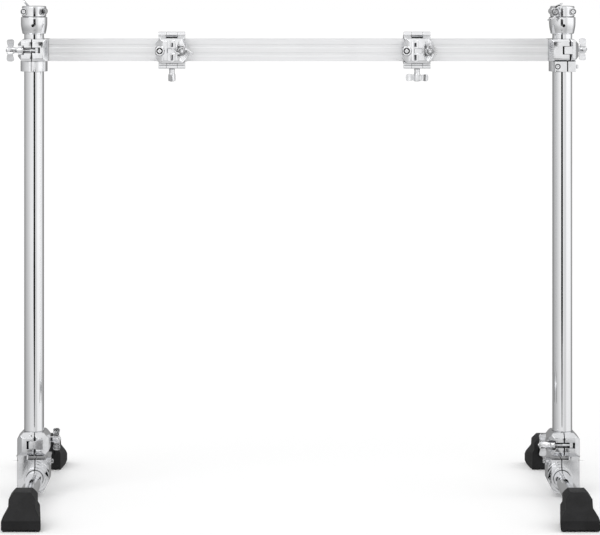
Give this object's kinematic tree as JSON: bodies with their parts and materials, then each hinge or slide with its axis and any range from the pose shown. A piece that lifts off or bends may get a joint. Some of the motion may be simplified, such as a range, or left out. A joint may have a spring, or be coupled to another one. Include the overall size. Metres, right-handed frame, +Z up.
{
  "type": "drum rack frame",
  "caption": "Straight drum rack: two tube posts on floor legs with rubber feet, joined by a square rail that carries hinged accessory clamps.",
  "frame": {"origin": "on the floor, under the middle of the rack's box", "axes": "+Z up, X along the rail, -Y is the side that the rail clamps face"},
  "size_m": [1.119, 0.616, 0.9529],
  "materials": {
    "post": "polished chromed steel tube",
    "casting": "polished chromed casting",
    "fastener": "chromed steel",
    "rail": "satin anodised",
    "bushing": "moulded nylon",
    "foot": "moulded matt rubber"
  },
  "bodies": {
    "left_post": {"left_post": "post", "left_top_cup": "casting", "left_top_ring": "casting", "left_top_bushing": "bushing", "left_top_key_bolt": "fastener"},
    "right_post": {"right_post": "post", "right_top_cup": "casting", "right_top_ring": "casting", "right_top_bushing": "bushing", "right_top_key_bolt": "fastener"},
    "rail": {"rail": "rail", "left_rail_joint_body": "casting", "left_memory_collar": "casting", "left_collar_bolt": "fastener", "right_rail_joint_body": "casting", "right_memory_collar": "casting", "right_collar_bolt": "fastener"},
    "left_rail_jaw": {"left_rail_joint_jaw": "casting"},
    "left_rail_jaw_bolt": {"left_rail_joint_swing_bolt": "fastener"},
    "left_rail_jaw_nut": {"left_rail_joint_wing_nut": "fastener"},
    "left_leg": {"left_leg_bracket": "casting", "left_tube_jaw": "casting", "left_tube_jaw_bolt": "fastener"},
    "left_leg_tube": {"left_leg_tube": "post", "left_front_foot": "foot", "left_rear_foot": "foot"},
    "left_leg_jaw": {"left_post_jaw": "casting"},
    "left_leg_jaw_bolt": {"left_post_jaw_swing_bolt": "fastener"},
    "left_leg_jaw_nut": {"left_post_jaw_wing_nut": "fastener"},
    "left_top_screw": {"left_top_wing_screw": "fastener"},
    "right_rail_jaw": {"right_rail_joint_jaw": "casting"},
    "right_rail_jaw_bolt": {"right_rail_joint_swing_bolt": "fastener"},
    "right_rail_jaw_nut": {"right_rail_joint_wing_nut": "fastener"},
    "right_leg": {"right_leg_bracket": "casting", "right_tube_jaw": "casting", "right_tube_jaw_bolt": "fastener"},
    "right_leg_tube": {"right_leg_tube": "post", "right_front_foot": "foot", "right_rear_foot": "foot"},
    "right_leg_jaw": {"right_post_jaw": "casting"},
    "right_leg_jaw_bolt": {"right_post_jaw_swing_bolt": "fastener"},
    "right_leg_jaw_nut": {"right_post_jaw_wing_nut": "fastener"},
    "right_top_screw": {"right_top_wing_screw": "fastener"},
    "left_clamp": {"left_clamp_body": "casting", "left_clamp_rear_jaw": "casting", "left_clamp_hinge_pin": "fastener"},
    "left_clamp_screw": {"left_clamp_wing_screw": "fastener"},
    "left_clamp_gate": {"left_clamp_gate": "casting", "left_clamp_gate_key_bolt": "fastener"},
    "left_clamp_gate_bolt": {"left_clamp_gate_swing_bolt": "fastener"},
    "left_clamp_gate_nut": {"left_clamp_gate_wing_nut": "fastener"},
    "right_clamp": {"right_clamp_body": "casting", "right_clamp_rear_jaw": "casting", "right_clamp_hinge_pin": "fastener"},
    "right_clamp_screw": {"right_clamp_wing_screw": "fastener"},
    "right_clamp_gate": {"right_clamp_gate": "casting", "right_clamp_gate_key_bolt": "fastener"},
    "right_clamp_gate_bolt": {"right_clamp_gate_swing_bolt": "fastener"},
    "right_clamp_gate_nut": {"right_clamp_gate_wing_nut": "fastener"}
  },
  "joints": [
    {"name": "rail_height", "type": "slide", "parent": "left_post", "child": "rail", "axis": [0, 0, 1], "range_m": [-0.65, 0.008]},
    {"name": "right_post_height", "type": "slide", "parent": "rail", "child": "right_post", "axis": [0, 0, 1], "range_m": [-0.008, 0.65]},
    {"name": "left_rail_jaw_open", "type": "hinge", "parent": "rail", "child": "left_rail_jaw", "pos_m": [-0.5125, 0.0265, 0.857], "axis": [0, 0, -1], "range_deg": [0, 10]},
    {"name": "left_rail_jaw_bolt_swing", "type": "hinge", "parent": "rail", "child": "left_rail_jaw_bolt", "pos_m": [-0.5, -0.0285, 0.857], "axis": [0, 0, 1], "range_deg": [0, 90]},
    {"name": "left_rail_jaw_nut_travel", "type": "slide", "parent": "left_rail_jaw_bolt", "child": "left_rail_jaw_nut", "axis": [-1, 0, 0], "range_m": [0, 0.01176]},
    {"name": "left_leg_swivel", "type": "hinge", "parent": "left_post", "child": "left_leg", "pos_m": [-0.508, 0, 0.1025], "axis": [0, 0, 1], "range_deg": [-45, 45]},
    {"name": "left_leg_slide", "type": "slide", "parent": "left_leg", "child": "left_leg_tube", "axis": [0, 1, 0], "range_m": [-0.12, 0.12]},
    {"name": "left_leg_jaw_open", "type": "hinge", "parent": "left_leg", "child": "left_leg_jaw", "pos_m": [-0.512, -0.0265, 0.1025], "axis": [0, 0, -1], "range_deg": [0, 10]},
    {"name": "left_leg_jaw_bolt_swing", "type": "hinge", "parent": "left_leg", "child": "left_leg_jaw_bolt", "pos_m": [-0.522, 0.0285, 0.1025], "axis": [0, 0, 1], "range_deg": [0, 90]},
    {"name": "left_leg_jaw_nut_travel", "type": "slide", "parent": "left_leg_jaw_bolt", "child": "left_leg_jaw_nut", "axis": [1, 0, 0], "range_m": [0, 0.01176]},
    {"name": "left_top_screw_turn", "type": "hinge", "parent": "left_post", "child": "left_top_screw", "pos_m": [-0.5262, 0.02, 0.9306], "axis": [0, 1, 0], "continuous": true},
    {"name": "right_rail_jaw_open", "type": "hinge", "parent": "rail", "child": "right_rail_jaw", "pos_m": [0.5125, -0.0265, 0.857], "axis": [0, 0, -1], "range_deg": [0, 10]},
    {"name": "right_rail_jaw_bolt_swing", "type": "hinge", "parent": "rail", "child": "right_rail_jaw_bolt", "pos_m": [0.5, 0.0285, 0.857], "axis": [0, 0, 1], "range_deg": [0, 90]},
    {"name": "right_rail_jaw_nut_travel", "type": "slide", "parent": "right_rail_jaw_bolt", "child": "right_rail_jaw_nut", "axis": [1, 0, 0], "range_m": [0, 0.01176]},
    {"name": "right_leg_swivel", "type": "hinge", "parent": "right_post", "child": "right_leg", "pos_m": [0.508, 0, 0.1025], "axis": [0, 0, 1], "range_deg": [-45, 45]},
    {"name": "right_leg_slide", "type": "slide", "parent": "right_leg", "child": "right_leg_tube", "axis": [0, 1, 0], "range_m": [-0.12, 0.12]},
    {"name": "right_leg_jaw_open", "type": "hinge", "parent": "right_leg", "child": "right_leg_jaw", "pos_m": [0.512, 0.0265, 0.1025], "axis": [0, 0, -1], "range_deg": [0, 10]},
    {"name": "right_leg_jaw_bolt_swing", "type": "hinge", "parent": "right_leg", "child": "right_leg_jaw_bolt", "pos_m": [0.522, -0.0285, 0.1025], "axis": [0, 0, 1], "range_deg": [0, 90]},
    {"name": "right_leg_jaw_nut_travel", "type": "slide", "parent": "right_leg_jaw_bolt", "child": "right_leg_jaw_nut", "axis": [-1, 0, 0], "range_m": [0, 0.01176]},
    {"name": "right_top_screw_turn", "type": "hinge", "parent": "right_post", "child": "right_top_screw", "pos_m": [0.4898, 0.02, 0.9306], "axis": [0, 1, 0], "continuous": true},
    {"name": "left_clamp_slide", "type": "slide", "parent": "rail", "child": "left_clamp", "axis": [1, 0, 0], "range_m": [-0.17, 0.17]},
    {"name": "left_clamp_screw_turn", "type": "hinge", "parent": "left_clamp", "child": "left_clamp_screw", "pos_m": [-0.242, -0.0271, 0.807], "axis": [0, 0, 1], "continuous": true},
    {"name": "left_clamp_gate_open", "type": "hinge", "parent": "left_clamp", "child": "left_clamp_gate", "pos_m": [-0.2635, -0.0398, 0.857], "axis": [0, 0, -1], "range_deg": [0, 10]},
    {"name": "left_clamp_gate_bolt_swing", "type": "hinge", "parent": "left_clamp", "child": "left_clamp_gate_bolt", "pos_m": [-0.2205, -0.0355, 0.857], "axis": [0, 0, 1], "range_deg": [0, 90]},
    {"name": "left_clamp_gate_nut_travel", "type": "slide", "parent": "left_clamp_gate_bolt", "child": "left_clamp_gate_nut", "axis": [0, -1, 0], "range_m": [0, 0.00966]},
    {"name": "right_clamp_slide", "type": "slide", "parent": "rail", "child": "right_clamp", "axis": [1, 0, 0], "range_m": [-0.17, 0.17]},
    {"name": "right_clamp_screw_turn", "type": "hinge", "parent": "right_clamp", "child": "right_clamp_screw", "pos_m": [0.227, -0.0271, 0.807], "axis": [0, 0, 1], "continuous": true},
    {"name": "right_clamp_gate_open", "type": "hinge", "parent": "right_clamp", "child": "right_clamp_gate", "pos_m": [0.2055, -0.0398, 0.857], "axis": [0, 0, -1], "range_deg": [0, 10]},
    {"name": "right_clamp_gate_bolt_swing", "type": "hinge", "parent": "right_clamp", "child": "right_clamp_gate_bolt", "pos_m": [0.2485, -0.0355, 0.857], "axis": [0, 0, 1], "range_deg": [0, 90]},
    {"name": "right_clamp_gate_nut_travel", "type": "slide", "parent": "right_clamp_gate_bolt", "child": "right_clamp_gate_nut", "axis": [0, -1, 0], "range_m": [0, 0.00966]}
  ],
  "couplings": [
    {"joint": "right_post_height", "follows": "rail_height", "ratio": -1},
    {"joint": "left_rail_jaw_nut_travel", "follows": "left_rail_jaw_open", "m_per_rad": 0.0645},
    {"joint": "left_leg_jaw_nut_travel", "follows": "left_leg_jaw_open", "m_per_rad": 0.0645},
    {"joint": "right_rail_jaw_nut_travel", "follows": "right_rail_jaw_open", "m_per_rad": 0.0645},
    {"joint": "right_leg_jaw_nut_travel", "follows": "right_leg_jaw_open", "m_per_rad": 0.0645},
    {"joint": "left_clamp_gate_nut_travel", "follows": "left_clamp_gate_open", "m_per_rad": 0.0525},
    {"joint": "right_clamp_gate_nut_travel", "follows": "right_clamp_gate_open", "m_per_rad": 0.0525}
  ]
}
